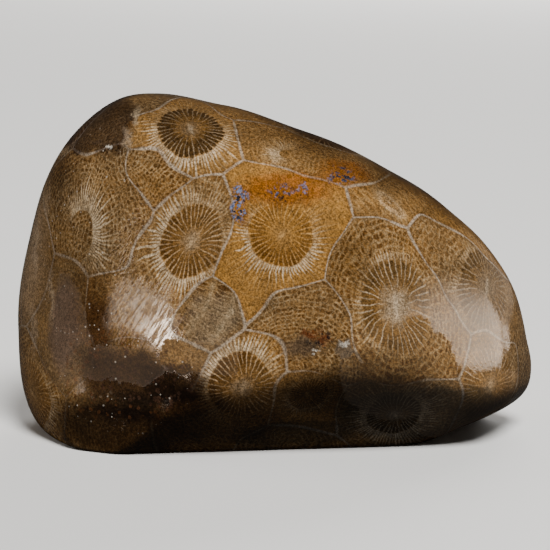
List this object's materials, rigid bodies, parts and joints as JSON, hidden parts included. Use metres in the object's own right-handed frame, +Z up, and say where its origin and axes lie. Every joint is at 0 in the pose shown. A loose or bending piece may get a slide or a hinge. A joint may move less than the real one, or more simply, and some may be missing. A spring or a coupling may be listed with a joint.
{
  "type": "fossil coral head",
  "caption": "Palm-sized polished fossil colony coral: a rounded hump that slopes to a pointed end, ground flat underneath so that it stands, with star-like corallites cut across its faces.",
  "frame": {"origin": "middle of the stone's length and depth, on the ground flat that it rests on", "axes": "+X along the stone's length to its pointed end, -Y out of its broad polished face, +Z up"},
  "size_m": [0.066, 0.036, 0.0431],
  "materials": {
    "polished_coral": "glossy polished calcite, amber brown with pale septa and walls, darker matrix patches, slight wheel marks"
  },
  "bodies": {
    "root": {"coral_head": "polished_coral"}
  },
  "joints": []
}
